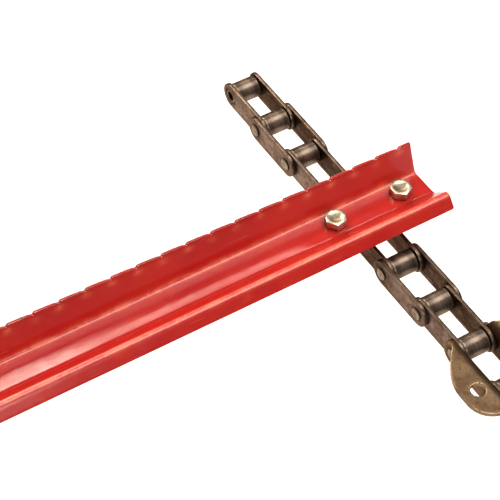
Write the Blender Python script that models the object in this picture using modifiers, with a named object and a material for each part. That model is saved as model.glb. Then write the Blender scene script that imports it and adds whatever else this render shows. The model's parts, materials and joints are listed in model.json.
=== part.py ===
"""Section of a chain-and-slat conveyor: one strand of attachment roller chain with a bolted steel slat.

Run with Blender 4.5: blender --background --python part.py. Units are metres, +Z is up.
X runs along the slat, Y along the chain and Z up. The chain's plates rest on Z = 0.
"""

import math

import bmesh
import bpy
from mathutils import Matrix, Vector

MM = 0.001
GAP = 0.3 * MM  # clearance kept between pieces that touch on the real chain

# Chain
PITCH = 41.4 * MM
JOINT_COUNT = 10  # pin axes, from the far end (0) to the near end (9)
SLAT_JOINT = 4  # the slat's bolts sit over this pin axis
PLATE_THICKNESS = 2.8 * MM
PLATE_HALF_HEIGHT = 10.0 * MM
INNER_PLATE_FACE = 9.9 * MM  # inner face of an inner plate, from the strand's middle
PIN_RADIUS = 3.6 * MM
BUSHING_OUTER_RADIUS = 5.3 * MM
ROLLER_RADIUS = 8.35 * MM
RIVET_RADIUS = 4.5 * MM
RIVET_HEIGHT = 1.0 * MM
ROLLER_CHAMFER = 0.6 * MM

INNER_PLATE_OUTSIDE = INNER_PLATE_FACE + PLATE_THICKNESS
OUTER_PLATE_FACE = INNER_PLATE_OUTSIDE + GAP
OUTER_PLATE_OUTSIDE = OUTER_PLATE_FACE + PLATE_THICKNESS
BUSHING_BORE_RADIUS = PIN_RADIUS + GAP
ROLLER_BORE_RADIUS = BUSHING_OUTER_RADIUS + GAP

# Attachment plates: the side plate rises and is bent outwards into a wing
WING_THICKNESS = 3.0 * MM
WING_TOP = 16.7 * MM  # above the pin axis
WING_REACH = 39.2 * MM  # outermost edge, from the strand's middle
WING_BEND_RADIUS = 5.2 * MM  # inside of the bend
WING_HOLE_OFFSET = 27.1 * MM
WING_HOLE_RADIUS = 5.15 * MM
WING_START = 1.0 * MM  # where the wing leaves the wall, on the far side of the far pin
WING_SPREAD = 39.0 * MM  # length over which it spreads to its full reach
WING_NEAR_REACH = 23.0 * MM  # along the chain, from the wing hole's axis
WING_WIDEST = 5.0 * MM  # the outline is widest this far on the near side of the hole

# Slat: one bent sheet. Its section runs from the far flange to the near lip.
SLAT_LENGTH = 457.0 * MM
SLAT_OVERHANG = 47.4 * MM  # the slat's right end, from the strand's middle
SHEET = 3.0 * MM
WEB_TOP = WING_TOP + GAP + SHEET
FLANGE_HEIGHT = 22.2 * MM  # far flange, above the web
FLANGE_LEAN = 8.2 * MM
WEB_FAR = 11.1 * MM  # web's far bend, from the bolt line
WEB_NEAR = 12.2 * MM
RIDGE_RISE = 15.3 * MM
RIDGE_RUN = 15.5 * MM
LIP_DROP = 10.3 * MM
LIP_RUN = 8.1 * MM
BEND_RADII = (3.2 * MM, 6.0 * MM, 4.2 * MM)  # top surface, at the far bend, near bend and ridge
TOOTH_PITCH = 19.0 * MM
TOOTH_RUN = 17.0 * MM  # each tooth falls slowly to the right over this run
TOOTH_FALL = 0.8 * MM
NOTCH_DEPTH = 1.4 * MM
NOTCH_SLOPE = 1.8 * MM  # last dip into the notch
NOTCH_RISE = 1.5 * MM  # steep step up to the next tooth
STRAND_SPACING = 362.2 * MM  # to the slat's other pair of bolt holes

# Fasteners
BOLT_RADIUS = 4.7 * MM
HEX_ACROSS_FLATS = 14.2 * MM
HEAD_HEIGHT = 6.2 * MM
NUT_HEIGHT = 8.0 * MM
WASHER_RADIUS = 7.1 * MM
WASHER_THICKNESS = 2.0 * MM
WASHER_SPLIT = 1.2 * MM
BOLT_LENGTH = 19.0 * MM  # under the head
HEAD_TURNS = {"left": 8.0, "right": 24.0}  # degrees, as each head happens to have stopped

ARC_STEPS = 5
ROUND_STEPS = 24
HOLE_STEPS = 20

STRAND_X = SLAT_LENGTH / 2 - SLAT_OVERHANG
CHAIN_MIDDLE = (JOINT_COUNT - 1) / 2 * PITCH
PIN_HEIGHT = PLATE_HALF_HEIGHT

STEEL_BROWN = ((0.235, 0.185, 0.140), 0.45, 0.85)
STEEL_DARK = ((0.150, 0.120, 0.100), 0.40, 0.90)
STEEL_PIN = ((0.420, 0.370, 0.300), 0.35, 1.00)
RED_PAINT = ((0.600, 0.035, 0.022), 0.35, 0.00)
ZINC = ((0.780, 0.720, 0.520), 0.30, 1.00)


def joint_place(index):
    """Where a pin axis crosses the strand's middle."""
    return Vector((STRAND_X, CHAIN_MIDDLE - index * PITCH, PIN_HEIGHT))


def clear_scene():
    for leftover in list(bpy.data.objects):
        bpy.data.objects.remove(leftover, do_unlink=True)


def new_collection(name):
    collection = bpy.data.collections.new(name)
    bpy.context.scene.collection.children.link(collection)
    return collection


def make_material(name, colour, roughness, metallic):
    material = bpy.data.materials.new(name)
    material.use_nodes = True
    shader = material.node_tree.nodes["Principled BSDF"]
    shader.inputs["Base Color"].default_value = (*colour, 1.0)
    shader.inputs["Roughness"].default_value = roughness
    shader.inputs["Metallic"].default_value = metallic
    material.diffuse_color = (*colour, 1.0)
    return material


def circle_points(centre_u, centre_v, radius, steps, start=0.0, sweep=math.tau, closed=True):
    """Points on an arc, counter-clockwise; a full circle leaves out its repeated last point."""
    count = steps if closed else steps + 1
    points = []
    for step in range(count):
        angle = start + sweep * step / steps
        points.append((centre_u + radius * math.cos(angle), centre_v + radius * math.sin(angle)))
    return points


def outline_mesh(name, outlines, half_depth, to_world):
    """A flat plate from closed outlines: the first is its edge, the others are holes."""
    curve = bpy.data.curves.new(name, "CURVE")
    curve.dimensions = "2D"
    curve.fill_mode = "BOTH"
    curve.extrude = half_depth
    for points in outlines:
        spline = curve.splines.new("POLY")
        spline.points.add(len(points) - 1)
        for point, (u, v) in zip(spline.points, points):
            point.co = (u, v, 0.0, 1.0)
        spline.use_cyclic_u = True
    shape = bpy.data.objects.new(name + "_outline", curve)
    bpy.context.scene.collection.objects.link(shape)
    bpy.context.view_layer.update()
    evaluated = shape.evaluated_get(bpy.context.evaluated_depsgraph_get())
    mesh = bpy.data.meshes.new_from_object(evaluated)
    mesh.name = name
    bpy.data.objects.remove(shape, do_unlink=True)
    work = bmesh.new()
    work.from_mesh(mesh)
    bmesh.ops.remove_doubles(work, verts=work.verts, dist=1e-6)
    bmesh.ops.transform(work, matrix=to_world, verts=work.verts)
    bmesh.ops.recalc_face_normals(work, faces=work.faces)
    work.to_mesh(mesh)
    work.free()
    return mesh


def axes(u_axis, v_axis, origin=(0.0, 0.0, 0.0)):
    """A matrix that lays an outline's own u and v along two given directions."""
    u_axis = Vector(u_axis)
    v_axis = Vector(v_axis)
    matrix = Matrix((u_axis, v_axis, u_axis.cross(v_axis))).transposed().to_4x4()
    matrix.translation = Vector(origin)
    return matrix


def add_object(name, mesh, material, parent=None, place=(0.0, 0.0, 0.0)):
    piece = bpy.data.objects.new(name, mesh)
    PARTS.objects.link(piece)
    piece.data.materials.clear()
    piece.data.materials.append(material)
    piece.parent = parent
    piece.location = place
    return piece


def add_cutter(name, mesh, parent=None, place=(0.0, 0.0, 0.0)):
    cutter = bpy.data.objects.new(name, mesh)
    CUTTERS.objects.link(cutter)
    cutter.hide_render = True
    cutter.display_type = "WIRE"
    cutter.parent = parent
    cutter.location = place
    return cutter


def add_boolean(piece, cutter, operation="DIFFERENCE"):
    modifier = piece.modifiers.new(cutter.name, "BOOLEAN")
    modifier.operation = operation
    modifier.solver = "EXACT"
    modifier.object = cutter


def smooth(piece, angle=35.0):
    for face in piece.data.polygons:
        face.use_smooth = True
    piece.data.set_sharp_from_angle(angle=math.radians(angle))


def link_empty(name, joint_index):
    """An empty on a link's far pin axis; the link's pieces are placed from it."""
    empty = bpy.data.objects.new(name, None)
    PARTS.objects.link(empty)
    empty.location = joint_place(joint_index)
    empty.empty_display_size = 0.01
    return empty


def turned_piece(name, profile, material, parent, place):
    """A piece turned about X. The profile lists radius and distance along the axis, outside first."""
    mesh = bpy.data.meshes.new(name)
    points = [(radius, 0.0, along) for radius, along in profile]
    edges = [(i, (i + 1) % len(points)) for i in range(len(points))]
    if profile[0][0] == 0.0:
        edges.pop()
    mesh.from_pydata(points, edges, [])
    piece = add_object(name, mesh, material, parent, place)
    piece.rotation_euler = (0.0, math.pi / 2, 0.0)
    screw = piece.modifiers.new("Turn", "SCREW")
    screw.steps = ROUND_STEPS
    screw.render_steps = ROUND_STEPS
    screw.use_merge_vertices = True
    screw.merge_threshold = 0.00001
    screw.use_smooth_shade = True
    return piece


def tube_profile(outer_radius, bore_radius, half_length, chamfer):
    return [
        (outer_radius - chamfer, half_length),
        (outer_radius, half_length - chamfer),
        (outer_radius, -half_length + chamfer),
        (outer_radius - chamfer, -half_length),
        (bore_radius, -half_length),
        (bore_radius, half_length),
    ]


def pin_profile():
    """A pin whose two ends are spread over the outer plates."""
    rivet_base = OUTER_PLATE_OUTSIDE + GAP
    end = rivet_base + RIVET_HEIGHT
    half = [
        (RIVET_RADIUS * 0.8, end),
        (RIVET_RADIUS, end - RIVET_HEIGHT * 0.4),
        (RIVET_RADIUS, rivet_base),
        (PIN_RADIUS, rivet_base),
    ]
    mirrored = [(radius, -along) for radius, along in reversed(half)]
    return [(0.0, end)] + half + mirrored + [(0.0, -end)]


def plate_outline():
    """Round-ended side plate, in distance along the chain from its far pin axis and height."""
    far_end = circle_points(0.0, 0.0, PLATE_HALF_HEIGHT, 2 * ARC_STEPS, -math.pi / 2, math.pi, False)
    near_end = circle_points(-PITCH, 0.0, PLATE_HALF_HEIGHT, 2 * ARC_STEPS, math.pi / 2, math.pi, False)
    return far_end + near_end


def side_plate(name, hole_radius, inner_face, side, material, parent):
    holes = [circle_points(-i * PITCH, 0.0, hole_radius, HOLE_STEPS) for i in range(2)]
    middle = side * (inner_face + PLATE_THICKNESS / 2)
    along_chain = axes((0, 1, 0), (0, 0, 1), (middle, 0, 0))
    mesh = outline_mesh(name, [plate_outline()] + holes, PLATE_THICKNESS / 2, along_chain)
    plate = add_object(name, mesh, material, parent)
    smooth(plate)
    return plate


def add_inner_link(number, joint_index):
    link = link_empty(f"inner_{number}", joint_index)
    for side_name, side in (("left", -1), ("right", 1)):
        side_plate(
            f"inner_{number}_plate_{side_name}",
            BUSHING_OUTER_RADIUS + GAP,
            INNER_PLATE_FACE,
            side,
            MATERIALS["inner_plate"],
            link,
        )
    bushing = tube_profile(BUSHING_OUTER_RADIUS, BUSHING_BORE_RADIUS, INNER_PLATE_OUTSIDE, 0.4 * MM)
    roller = tube_profile(ROLLER_RADIUS, ROLLER_BORE_RADIUS, INNER_PLATE_FACE - GAP, ROLLER_CHAMFER)
    for place_name, place_y in (("far", 0.0), ("near", -PITCH)):
        end = (0.0, place_y, 0.0)
        turned_piece(f"inner_{number}_bushing_{place_name}", bushing, MATERIALS["bushing"], link, end)
        turned_piece(f"inner_{number}_roller_{place_name}", roller, MATERIALS["roller"], link, end)


def add_pins(link_name, link):
    for place_name, place_y in (("far", 0.0), ("near", -PITCH)):
        pin_name = f"{link_name}_pin_{place_name}"
        turned_piece(pin_name, pin_profile(), MATERIALS["pin"], link, (0.0, place_y, 0.0))


def add_outer_link(number, joint_index):
    link = link_empty(f"outer_{number}", joint_index)
    for side_name, side in (("left", -1), ("right", 1)):
        side_plate(
            f"outer_{number}_plate_{side_name}",
            PIN_RADIUS + GAP,
            OUTER_PLATE_FACE,
            side,
            MATERIALS["outer_plate"],
            link,
        )
    add_pins(f"outer_{number}", link)


def bent_plate_section(side):
    """L-shaped section of an attachment plate: side wall, bend and wing."""
    wall_in = OUTER_PLATE_FACE
    wall_out = wall_in + WING_THICKNESS
    bottom = -PLATE_HALF_HEIGHT - 2 * MM
    reach = WING_REACH + 2 * MM
    underside = WING_TOP - WING_THICKNESS
    outer_radius = WING_BEND_RADIUS + WING_THICKNESS
    centre_x = wall_out + WING_BEND_RADIUS
    centre_z = underside - WING_BEND_RADIUS
    inner_bend = circle_points(
        centre_x, centre_z, WING_BEND_RADIUS, ARC_STEPS, math.pi, -math.pi / 2, False
    )
    outer_bend = circle_points(
        centre_x, centre_z, outer_radius, ARC_STEPS, math.pi / 2, math.pi / 2, False
    )
    section = [(wall_in, bottom), (wall_out, bottom)] + inner_bend
    section += [(reach, underside), (reach, WING_TOP)] + outer_bend
    return [(side * x, z) for x, z in section]


def attachment_side_outline():
    """Seen from the side: the link plate with the taller stretch that carries the wing."""
    high = WING_TOP + 2 * MM
    near_reach = -PITCH - WING_NEAR_REACH
    bottom = -math.pi / 2
    near_top = bottom - math.radians(81)
    near_end = circle_points(-PITCH, 0.0, PLATE_HALF_HEIGHT, ARC_STEPS, bottom, near_top - bottom, False)
    far_top = math.radians(70)
    far_end = circle_points(0.0, 0.0, PLATE_HALF_HEIGHT, 2 * ARC_STEPS, far_top, bottom - far_top, False)
    wing_root = WING_TOP - WING_THICKNESS - 3.5 * MM
    ramp_foot = (WING_START + 1 * MM, PLATE_HALF_HEIGHT + 1 * MM)
    ramp_top = (WING_START, high)
    return near_end + [(near_reach, wing_root), (near_reach, high), ramp_top, ramp_foot] + far_end


def wing_outline(side):
    """Seen from above: a rounded wing that leaves the wall beside the far pin and is widest beside its hole."""
    inside = OUTER_PLATE_FACE - 2 * MM
    widest_y = -PITCH - WING_WIDEST
    near_y = -PITCH - WING_NEAR_REACH
    plate_far = 12 * MM
    rise = WING_REACH - OUTER_PLATE_OUTSIDE
    points = [(inside, near_y - 2 * MM), (inside, plate_far), (OUTER_PLATE_OUTSIDE + 0.5 * MM, plate_far)]
    steps = 2 * ARC_STEPS
    for step in range(1, steps + 1):
        share = step / steps
        points.append((
            OUTER_PLATE_OUTSIDE + rise * math.sin(math.pi / 2 * share),
            WING_START - WING_SPREAD * share,
        ))
    corner = WING_NEAR_REACH - WING_WIDEST
    points += circle_points(WING_REACH - corner, widest_y, corner, ARC_STEPS, 0.0, -math.pi / 2, False)
    return [(side * x, y) for x, y in points]


def attachment_plate(name, side, link):
    section_mesh = outline_mesh(
        name,
        [bent_plate_section(side)],
        PITCH * 1.2,
        axes((1, 0, 0), (0, 0, 1), (0, -PITCH * 0.6, 0)),
    )
    plate = add_object(name, section_mesh, MATERIALS["attachment_plate"], link)
    side_mesh = outline_mesh(
        name + "_side", [attachment_side_outline()], WING_REACH + 6 * MM, axes((0, 1, 0), (0, 0, 1))
    )
    top_mesh = outline_mesh(name + "_top", [wing_outline(side)], 30 * MM, axes((1, 0, 0), (0, 1, 0)))
    hole_mesh = outline_mesh(
        name + "_hole",
        [circle_points(side * WING_HOLE_OFFSET, -PITCH, WING_HOLE_RADIUS, HOLE_STEPS)],
        4 * MM,
        axes((1, 0, 0), (0, 1, 0), (0, 0, WING_TOP)),
    )
    add_boolean(plate, add_cutter(name + "_side", side_mesh, link), "INTERSECT")
    add_boolean(plate, add_cutter(name + "_top", top_mesh, link), "INTERSECT")
    add_boolean(plate, add_cutter(name + "_hole", hole_mesh, link))
    for index in range(2):
        pin_hole = outline_mesh(
            f"{name}_pin_hole_{index}",
            [circle_points(-index * PITCH, 0.0, PIN_RADIUS + GAP, HOLE_STEPS)],
            6 * MM,
            axes((0, 1, 0), (0, 0, 1), (side * (OUTER_PLATE_FACE + PLATE_THICKNESS / 2), 0, 0)),
        )
        add_boolean(plate, add_cutter(f"{name}_pin_hole_{index}", pin_hole, link))
    smooth(plate)


def add_attachment_link(number, joint_index):
    link = link_empty(f"attachment_{number}", joint_index)
    for side_name, side in (("left", -1), ("right", 1)):
        attachment_plate(f"attachment_{number}_plate_{side_name}", side, link)
    add_pins(f"attachment_{number}", link)


def slat_bends():
    """Top-surface corners of the slat's section: distance from the bolt line, and height."""
    near_bend = (-WEB_NEAR, WEB_TOP)
    ridge = (near_bend[0] - RIDGE_RUN, WEB_TOP + RIDGE_RISE)
    return [
        (WEB_FAR + FLANGE_LEAN, WEB_TOP + FLANGE_HEIGHT),
        (WEB_FAR, WEB_TOP),
        near_bend,
        ridge,
        (ridge[0] - LIP_RUN, ridge[1] - LIP_DROP),
    ]


def offset_bend(before, corner, after, radius, depth):
    """Arc that rounds one corner, moved into the sheet by depth."""
    corner = Vector(corner)
    to_before = (Vector(before) - corner).normalized()
    to_after = (Vector(after) - corner).normalized()
    half_angle = to_before.angle(to_after) / 2
    middle = (to_before + to_after).normalized()
    turn = 1.0 if to_after.cross(-to_before) > 0 else -1.0
    centre = corner + middle * (radius / math.sin(half_angle))
    arc_radius = radius + turn * depth
    start = math.atan2(*reversed((corner + to_before * radius / math.tan(half_angle) - centre)[:]))
    sweep = -turn * (math.pi - 2 * half_angle)
    return circle_points(centre[0], centre[1], arc_radius, ARC_STEPS, start, sweep, False)


def slat_section():
    """Closed outline of the bent sheet, top surface first and then back along its underside."""
    bends = slat_bends()
    top = [bends[0]]
    underside = [Vector(bends[0]) + sheet_depth(bends[0], bends[1])]
    for index, radius in enumerate(BEND_RADII, 1):
        neighbours = (bends[index - 1], bends[index], bends[index + 1])
        top += offset_bend(*neighbours, radius, 0.0)
        underside += offset_bend(*neighbours, radius, SHEET)
    top.append(bends[-1])
    underside.append(Vector(bends[-1]) + sheet_depth(bends[-2], bends[-1]))
    return top + [tuple(point) for point in reversed(underside)]


def sheet_depth(start, end):
    """From the top surface to the underside, square to a flat stretch that runs start to end."""
    along = (Vector(end) - Vector(start)).normalized()
    return Vector((-along[1], along[0])) * SHEET


def tooth_cutters(flange_top, lean):
    """A row of wedges along the far flange's top edge, as one mesh, that saws it into shallow teeth."""
    work = bmesh.new()
    count = int(SLAT_LENGTH / TOOTH_PITCH)
    first = -(count - 1) * TOOTH_PITCH / 2
    above = -2 * MM
    wedge = [
        (-TOOTH_RUN, 0.0),
        (-NOTCH_SLOPE, TOOTH_FALL),
        (0.0, NOTCH_DEPTH),
        (NOTCH_RISE, 0.0),
        (NOTCH_RISE, above),
        (-TOOTH_RUN, above),
    ]
    for index in range(count):
        centre = Vector((first + index * TOOTH_PITCH, *flange_top))
        upright = Matrix.Translation(centre) @ Matrix.Rotation(-lean, 4, "X")
        rings = []
        for across in (-2 * SHEET, 2 * SHEET):
            rings.append([work.verts.new(upright @ Vector((x, across, -down))) for x, down in wedge])
            work.faces.new(rings[-1])
        for corner in range(len(wedge)):
            before = corner - 1
            work.faces.new((rings[0][before], rings[0][corner], rings[1][corner], rings[1][before]))
    bmesh.ops.recalc_face_normals(work, faces=work.faces)
    mesh = bpy.data.meshes.new("slat_notches")
    work.to_mesh(mesh)
    work.free()
    return mesh


def bolt_places():
    return {"left": -WING_HOLE_OFFSET, "right": WING_HOLE_OFFSET}


def add_slat():
    bolt_line = joint_place(SLAT_JOINT)
    across = axes((0, 1, 0), (0, 0, 1))
    mesh = outline_mesh("slat", [slat_section()], SLAT_LENGTH / 2, across)
    slat = add_object("slat", mesh, MATERIALS["slat"], None, (0.0, bolt_line[1], bolt_line[2]))
    lean = math.atan2(FLANGE_LEAN, FLANGE_HEIGHT)
    notches = add_cutter("slat_notches", tooth_cutters(slat_bends()[0], lean), slat)
    add_boolean(slat, notches)
    for strand_name, strand_x in (("here", STRAND_X), ("other", STRAND_X - STRAND_SPACING)):
        for side_name, offset in bolt_places().items():
            hole_name = f"slat_hole_{strand_name}_{side_name}"
            hole = outline_mesh(
                hole_name,
                [circle_points(strand_x + offset, 0.0, BOLT_RADIUS + GAP, HOLE_STEPS)],
                2 * SHEET,
                axes((1, 0, 0), (0, 1, 0), (0, 0, WEB_TOP - SHEET / 2)),
            )
            add_boolean(slat, add_cutter(hole_name, hole, slat))
    smooth(slat)


def hexagon(radius_flats, turn=0.0):
    return circle_points(0.0, 0.0, radius_flats / math.cos(math.pi / 6), 6, math.radians(turn))


def chamfer_cutter(name, outer_radius, low, high, parent, place):
    """A drum that rounds off a hexagon's corners at its top, and at its bottom if low is negative."""
    mesh = bpy.data.meshes.new(name)
    reach = HEX_ACROSS_FLATS / 2
    profile = [(0.0, high), (reach * 0.96, high), (outer_radius, high - reach * 0.12)]
    profile += [(outer_radius, low + reach * 0.12), (reach * 0.96, low), (0.0, low)]
    edges = [(i, i + 1) for i in range(len(profile) - 1)]
    mesh.from_pydata([(radius, 0.0, along) for radius, along in profile], edges, [])
    drum = add_cutter(name, mesh, parent, place)
    screw = drum.modifiers.new("Turn", "SCREW")
    screw.steps = ROUND_STEPS
    screw.render_steps = ROUND_STEPS
    screw.use_merge_vertices = True
    screw.merge_threshold = 0.00001
    return drum


def add_bolt(side_name, x):
    place = joint_place(SLAT_JOINT) + Vector((x, 0.0, WEB_TOP + GAP))
    name = f"bolt_{side_name}"
    turn = HEAD_TURNS[side_name]
    flat = axes((1, 0, 0), (0, 1, 0), (0, 0, HEAD_HEIGHT / 2))
    mesh = outline_mesh(name, [hexagon(HEX_ACROSS_FLATS / 2, turn)], HEAD_HEIGHT / 2, flat)
    bolt = add_object(name, mesh, MATERIALS["bolt"], None, place)
    corner = HEX_ACROSS_FLATS / 2 / math.cos(math.pi / 6) + 0.1 * MM
    drum = chamfer_cutter(name + "_drum", corner, -HEAD_HEIGHT, HEAD_HEIGHT, bolt, (0, 0, 0))
    add_boolean(bolt, drum, "INTERSECT")
    shank_mesh = outline_mesh(
        name + "_shank",
        [circle_points(0.0, 0.0, BOLT_RADIUS, HOLE_STEPS)],
        (BOLT_LENGTH + HEAD_HEIGHT / 2) / 2,
        axes((1, 0, 0), (0, 1, 0), (0, 0, (HEAD_HEIGHT / 2 - BOLT_LENGTH) / 2)),
    )
    add_boolean(bolt, add_cutter(name + "_shank", shank_mesh, bolt), "UNION")
    smooth(bolt)


def add_nut_and_washer(side_name, x):
    underside = joint_place(SLAT_JOINT) + Vector((x, 0.0, WING_TOP - WING_THICKNESS))
    bore = circle_points(0.0, 0.0, BOLT_RADIUS + GAP, HOLE_STEPS)
    washer_z = -GAP - WASHER_THICKNESS / 2
    washer_mesh = outline_mesh(
        f"lockwasher_{side_name}",
        [circle_points(0.0, 0.0, WASHER_RADIUS, HOLE_STEPS), bore],
        WASHER_THICKNESS / 2,
        axes((1, 0, 0), (0, 1, 0), (0, 0, washer_z)),
    )
    washer = add_object(f"lockwasher_{side_name}", washer_mesh, MATERIALS["washer"], None, underside)
    split_mesh = bpy.data.meshes.new(f"lockwasher_{side_name}_split")
    work = bmesh.new()
    bmesh.ops.create_cube(work, size=1.0)
    split_size = Matrix.Diagonal((WASHER_SPLIT, 2 * WASHER_RADIUS, 3 * WASHER_THICKNESS, 1.0))
    tilt = Matrix.Rotation(math.radians(20), 4, "Y")
    split_place = Matrix.Translation((0.0, -WASHER_RADIUS - 1 * MM, washer_z))
    bmesh.ops.transform(work, matrix=split_place @ tilt @ split_size, verts=work.verts)
    work.to_mesh(split_mesh)
    work.free()
    add_boolean(washer, add_cutter(f"lockwasher_{side_name}_split", split_mesh, washer))
    smooth(washer)

    nut_name = f"nut_{side_name}"
    nut_place = underside - Vector((0.0, 0.0, 2 * GAP + WASHER_THICKNESS + NUT_HEIGHT))
    nut_mesh = outline_mesh(
        nut_name,
        [hexagon(HEX_ACROSS_FLATS / 2, HEAD_TURNS[side_name] + 13.0), bore],
        NUT_HEIGHT / 2,
        axes((1, 0, 0), (0, 1, 0), (0, 0, NUT_HEIGHT / 2)),
    )
    nut = add_object(nut_name, nut_mesh, MATERIALS["nut"], None, nut_place)
    corner = HEX_ACROSS_FLATS / 2 / math.cos(math.pi / 6) + 0.1 * MM
    drum = chamfer_cutter(nut_name + "_drum", corner, 0.0, NUT_HEIGHT, nut, (0, 0, 0))
    add_boolean(nut, drum, "INTERSECT")
    smooth(nut)


clear_scene()
PARTS = new_collection("slat_chain_section")
CUTTERS = new_collection("slat_chain_section_cutters")
MATERIALS = {
    "inner_plate": make_material("inner_plate", *STEEL_BROWN),
    "outer_plate": make_material("outer_plate", *STEEL_BROWN),
    "attachment_plate": make_material("attachment_plate", *STEEL_BROWN),
    "bushing": make_material("bushing", *STEEL_DARK),
    "roller": make_material("roller", *STEEL_DARK),
    "pin": make_material("pin", *STEEL_PIN),
    "slat": make_material("slat", *RED_PAINT),
    "bolt": make_material("bolt", *ZINC),
    "nut": make_material("nut", *ZINC),
    "washer": make_material("washer", *ZINC),
}

for link_number in range(5):
    add_inner_link(link_number + 1, 2 * link_number)
add_outer_link(1, 1)
add_attachment_link(1, 3)
add_outer_link(2, 5)
add_attachment_link(2, 7)
add_slat()
for bolt_side, bolt_x in bolt_places().items():
    add_bolt(bolt_side, bolt_x)
    add_nut_and_washer(bolt_side, bolt_x)
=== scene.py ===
import json
import math

import bmesh
import bpy
from mathutils import Matrix, Vector, kdtree, noise


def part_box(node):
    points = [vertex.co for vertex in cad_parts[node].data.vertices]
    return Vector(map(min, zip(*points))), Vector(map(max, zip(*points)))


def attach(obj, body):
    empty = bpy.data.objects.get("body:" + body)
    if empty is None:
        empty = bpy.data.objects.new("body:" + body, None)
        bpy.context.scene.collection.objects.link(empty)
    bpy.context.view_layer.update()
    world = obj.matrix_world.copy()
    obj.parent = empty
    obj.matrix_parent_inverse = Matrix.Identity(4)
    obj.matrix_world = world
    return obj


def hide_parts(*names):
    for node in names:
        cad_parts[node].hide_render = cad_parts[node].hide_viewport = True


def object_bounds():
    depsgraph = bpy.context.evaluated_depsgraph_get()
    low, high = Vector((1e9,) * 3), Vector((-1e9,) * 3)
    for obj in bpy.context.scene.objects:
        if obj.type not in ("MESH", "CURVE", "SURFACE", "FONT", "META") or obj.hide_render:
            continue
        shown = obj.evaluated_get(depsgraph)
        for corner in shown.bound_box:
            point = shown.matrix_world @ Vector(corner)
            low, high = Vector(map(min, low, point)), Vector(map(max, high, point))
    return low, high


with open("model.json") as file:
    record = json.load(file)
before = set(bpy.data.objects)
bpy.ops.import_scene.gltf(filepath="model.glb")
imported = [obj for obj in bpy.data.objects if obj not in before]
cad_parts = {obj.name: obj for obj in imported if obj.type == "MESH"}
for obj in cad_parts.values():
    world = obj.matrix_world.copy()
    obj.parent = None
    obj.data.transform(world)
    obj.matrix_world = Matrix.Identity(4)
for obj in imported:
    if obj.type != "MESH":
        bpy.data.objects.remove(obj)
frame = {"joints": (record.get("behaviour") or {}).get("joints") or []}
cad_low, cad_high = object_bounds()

MM = 0.001

# ---------------------------------------------------------------- places and sizes, from the frame
hinges = {joint["name"]: Vector(joint["pos_m"]) for joint in frame["joints"]}
AXIS_COUNT = 10
PINS = [hinges[f"roller_{index}_spin"] for index in range(AXIS_COUNT)]
STRAND = PINS[0].x
PIN_Z = PINS[0].z
PITCH = (PINS[0] - PINS[1]).length
SLAT_PIN = PINS[4]


def node_size(node):
    low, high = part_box(node)
    return high - low


PLATE_THICKNESS = node_size("inner_1_plate_left").x
PLATE_RADIUS = node_size("inner_1_plate_left").z / 2
INNER_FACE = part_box("inner_1_plate_right")[0].x - STRAND
OUTER_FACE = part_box("outer_1_plate_right")[0].x - STRAND
ROLLER_RADIUS = node_size("inner_1_roller_far").z / 2
ROLLER_HALF = node_size("inner_1_roller_far").x / 2
BUSHING_RADIUS = node_size("inner_1_bushing_far").z / 2
BUSHING_HALF = node_size("inner_1_bushing_far").x / 2
PIN_HALF = node_size("outer_1_pin_far").x / 2
RIVET_RADIUS = node_size("outer_1_pin_far").z / 2
PIN_RADIUS = 3.6 * MM
GAP = 0.3 * MM
PLATE_RIM = 0.45 * MM  # how far the link plates' edges are softened
SKIN = 0.05 * MM  # a point this close to a face counts as on it

wing_low, wing_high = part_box("attachment_2_plate_right")
WING_TOP = wing_high.z - PIN_Z
WING_REACH = wing_high.x - STRAND
WING_NEAR = PINS[8].y - wing_low.y
WING_SHEET = 3.0 * MM
WING_BEND = 5.2 * MM
WING_START = 1.0 * MM  # its far edge begins this far beyond the far pin
WING_SPREAD = 39.0 * MM  # and sweeps back this far on its way to the tip
WING_WIDEST = 5.0 * MM  # its near corner is centred this far past the near pin
WING_HOLE_OFFSET = 27.1 * MM
WING_HOLE_RADIUS = 5.15 * MM

slat_low, slat_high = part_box("slat")
# The slat's section, by the corners of its top surface and the radii of its three bends.
SHEET = 3.0 * MM
WEB_TOP = WING_TOP + GAP + SHEET
FLANGE_HEIGHT = 22.2 * MM
FLANGE_LEAN = 8.2 * MM
WEB_FAR = 11.1 * MM
WEB_NEAR = 12.2 * MM
RIDGE_RISE = 15.3 * MM
RIDGE_RUN = 15.5 * MM
LIP_DROP = 10.3 * MM
LIP_RUN = 8.1 * MM
BEND_RADII = (3.2 * MM, 6.0 * MM, 4.2 * MM)
TOOTH_PITCH = 19.0 * MM
TOOTH_RUN = 17.0 * MM
TOOTH_FALL = 0.8 * MM
NOTCH_DEPTH = 1.4 * MM
NOTCH_SLOPE = 1.8 * MM
NOTCH_RISE = 1.5 * MM
STRAND_SPACING = 362.2 * MM
HOLE_RADIUS = 5.0 * MM

BOLT_RADIUS = 4.7 * MM
HEX_APOTHEM = 7.1 * MM
HEAD_HEIGHT = 6.2 * MM
NUT_HEIGHT = node_size("nut_left").z
WASHER_RADIUS = 7.1 * MM
WASHER_THICKNESS = node_size("lockwasher_left").z
THREAD_PITCH = 1.5 * MM
THREAD_DEPTH = 0.55 * MM
HEAD_TURNS = {"left": 38.0, "right": 54.0}  # how far each bolt head is turned, in degrees
NUT_TURN = 13.0  # and each nut from its bolt head


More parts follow.
